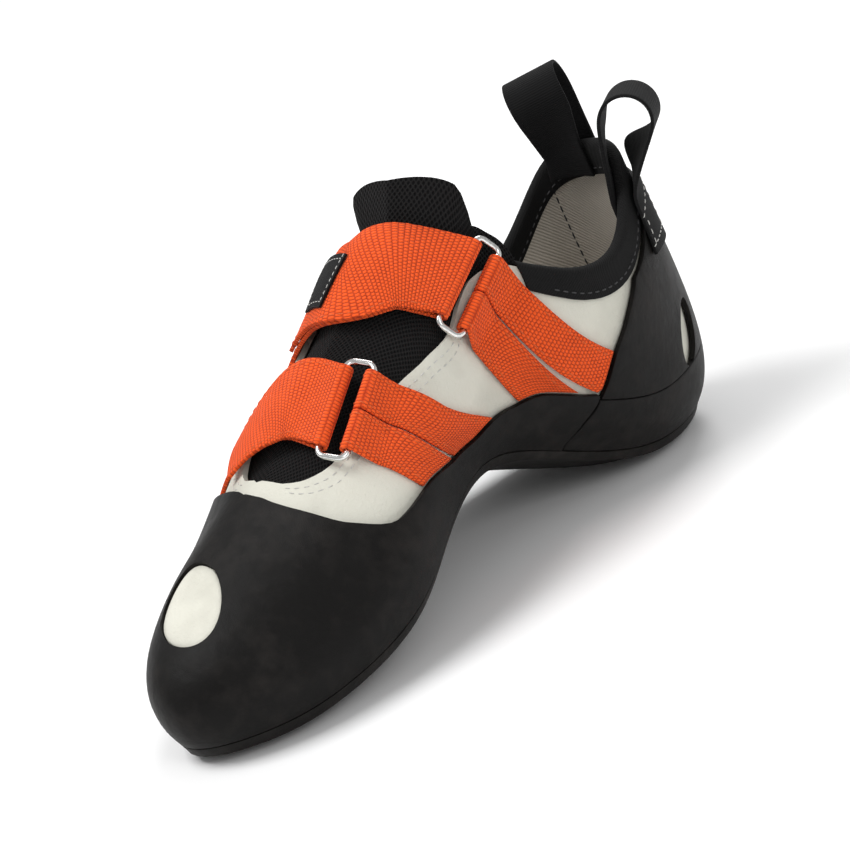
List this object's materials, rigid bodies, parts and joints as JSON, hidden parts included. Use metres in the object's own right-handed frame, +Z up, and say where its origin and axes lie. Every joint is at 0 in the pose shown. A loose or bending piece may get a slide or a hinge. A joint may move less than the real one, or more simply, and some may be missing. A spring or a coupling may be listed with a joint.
{
  "type": "climbing shoe",
  "caption": "Right-foot climbing shoe with a downturned sole, a rubber toe box and heel, hook-and-loop straps through wire rings, a mesh tongue and heel pull loops.",
  "frame": {"origin": "on the floor under the middle of the shoe's outline, where it stands on heel and forefoot", "axes": "+Z up, -Y toward the toe, +Y toward the heel, +X toward the inner side of the right foot"},
  "size_m": [0.0946, 0.2462, 0.1257],
  "materials": {
    "microfibre": "matt off-white microfibre",
    "black_rubber": "matt near-black",
    "sole_rubber": "smooth sole rubber",
    "footbed_board": "grey footbed",
    "stretch_mesh": "black stretch mesh",
    "black_binding": "folded black binding",
    "steel_wire": "polished wire",
    "orange_webbing": "orange woven webbing",
    "label_cloth": "bare black cloth"
  },
  "bodies": {
    "root": {"upper": "microfibre", "rand": "black_rubber", "heel_cup": "black_rubber", "heel_band": "black_rubber", "outsole": "sole_rubber", "insole": "footbed_board", "tongue": "stretch_mesh", "collar_binding": "black_binding", "upper_ring": "steel_wire", "upper_strap": "orange_webbing", "upper_band_1": "orange_webbing", "upper_band_2": "orange_webbing", "lower_ring": "steel_wire", "lower_strap": "orange_webbing", "lower_band_1": "orange_webbing", "lower_band_2": "orange_webbing", "pull_loop_inner": "black_binding", "pull_loop_outer": "black_binding", "label": "label_cloth"}
  },
  "joints": []
}
